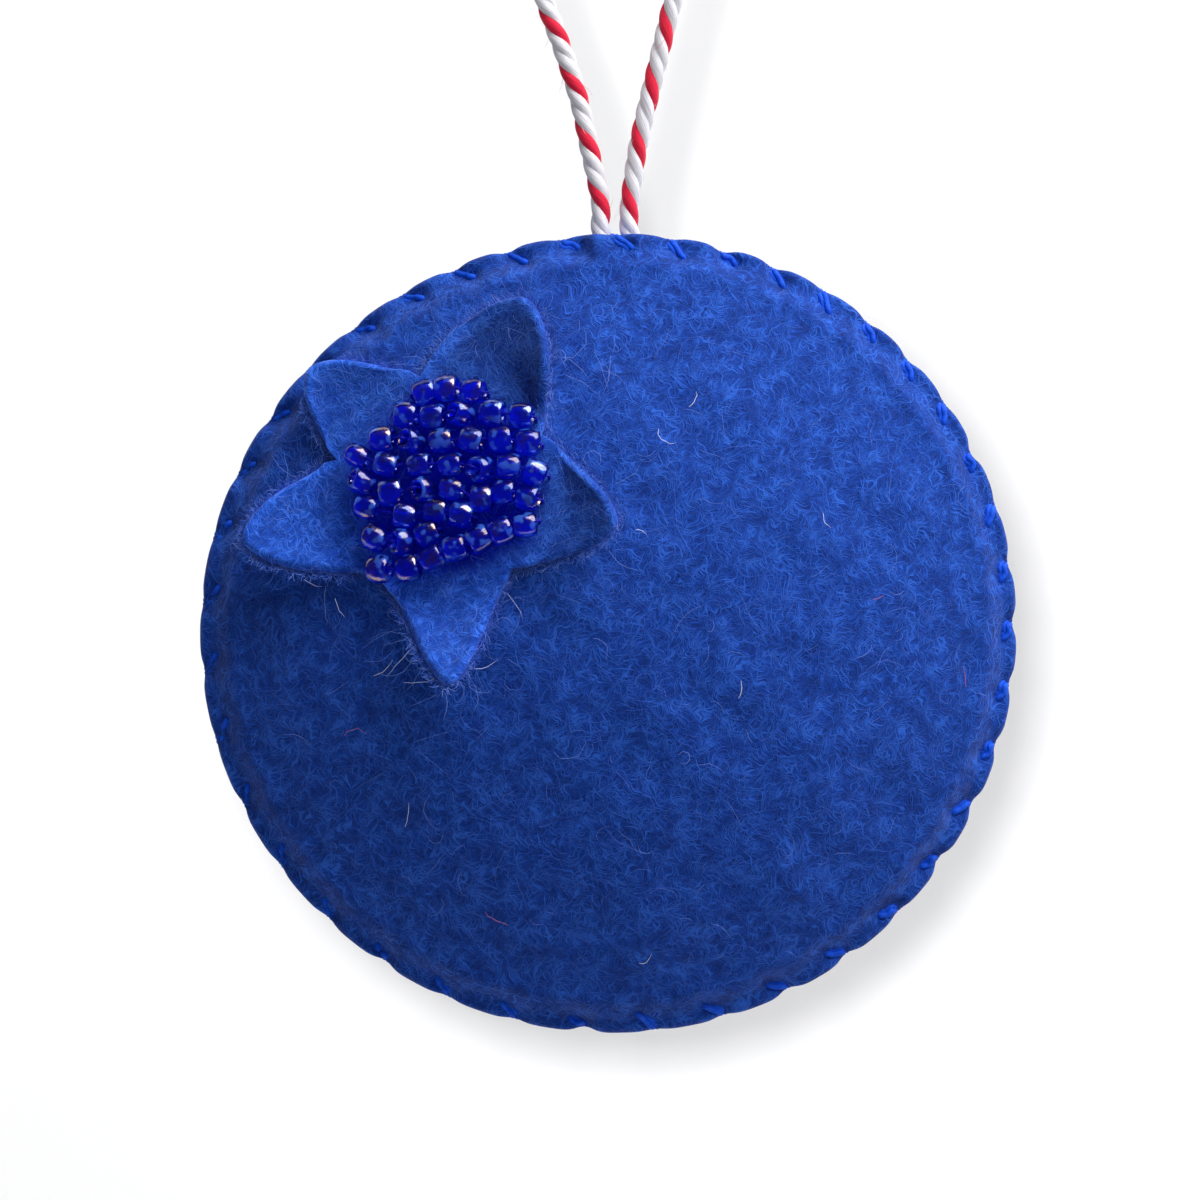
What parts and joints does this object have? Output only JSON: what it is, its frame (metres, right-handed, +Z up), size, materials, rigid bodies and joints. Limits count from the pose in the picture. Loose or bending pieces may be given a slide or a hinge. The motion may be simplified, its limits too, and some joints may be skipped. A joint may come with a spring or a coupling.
{
  "type": "felt christmas ornament",
  "caption": "Puffed round felt berry ornament with a beaded felt calyx star, a whip-stitched edge and a twine loop to hang it by.",
  "frame": {"origin": "inside top of the twine loop, where the hook or twig that holds the ornament touches it", "axes": "+Z up along the hanging loop, +Y from the beaded front to the back, +X to the right as seen from the front"},
  "size_m": [0.0769, 0.0308, 0.1517],
  "materials": {
    "wool_felt": "matte",
    "star_felt": "matte",
    "sewing_thread": "satin",
    "fibrefill": "matte",
    "bakers_twine": "matte",
    "bead_glass": "gloss"
  },
  "bodies": {
    "hanging_loop": {"twine_loop": "bakers_twine"},
    "berry": {"front_felt": "wool_felt", "back_felt": "wool_felt", "stuffing": "fibrefill", "edge_thread": "sewing_thread", "calyx_star": "star_felt", "bead_thread": "sewing_thread", "twine_tails": "bakers_twine", "seed_bead_01": "bead_glass", "seed_bead_02": "bead_glass", "seed_bead_03": "bead_glass", "seed_bead_04": "bead_glass", "seed_bead_05": "bead_glass", "seed_bead_06": "bead_glass", "seed_bead_07": "bead_glass", "seed_bead_08": "bead_glass", "seed_bead_09": "bead_glass", "seed_bead_10": "bead_glass", "seed_bead_11": "bead_glass", "seed_bead_12": "bead_glass", "seed_bead_13": "bead_glass", "seed_bead_14": "bead_glass", "seed_bead_15": "bead_glass", "seed_bead_16": "bead_glass", "seed_bead_17": "bead_glass", "seed_bead_18": "bead_glass", "seed_bead_19": "bead_glass", "seed_bead_20": "bead_glass", "seed_bead_21": "bead_glass", "seed_bead_22": "bead_glass", "seed_bead_23": "bead_glass", "seed_bead_24": "bead_glass", "seed_bead_25": "bead_glass", "seed_bead_26": "bead_glass", "seed_bead_27": "bead_glass", "seed_bead_28": "bead_glass", "seed_bead_29": "bead_glass", "seed_bead_30": "bead_glass", "seed_bead_31": "bead_glass", "seed_bead_32": "bead_glass", "seed_bead_33": "bead_glass", "seed_bead_34": "bead_glass", "seed_bead_35": "bead_glass", "seed_bead_36": "bead_glass", "seed_bead_37": "bead_glass", "seed_bead_38": "bead_glass", "seed_bead_39": "bead_glass", "seed_bead_40": "bead_glass", "seed_bead_41": "bead_glass", "seed_bead_42": "bead_glass"}
  },
  "joints": [
    {"name": "loop_swing", "type": "hinge", "parent": "hanging_loop", "child": "berry", "pos_m": [0.0005, 0, -0.0734], "axis": [1, 0, 0], "range_deg": [-80, 80]}
  ]
}
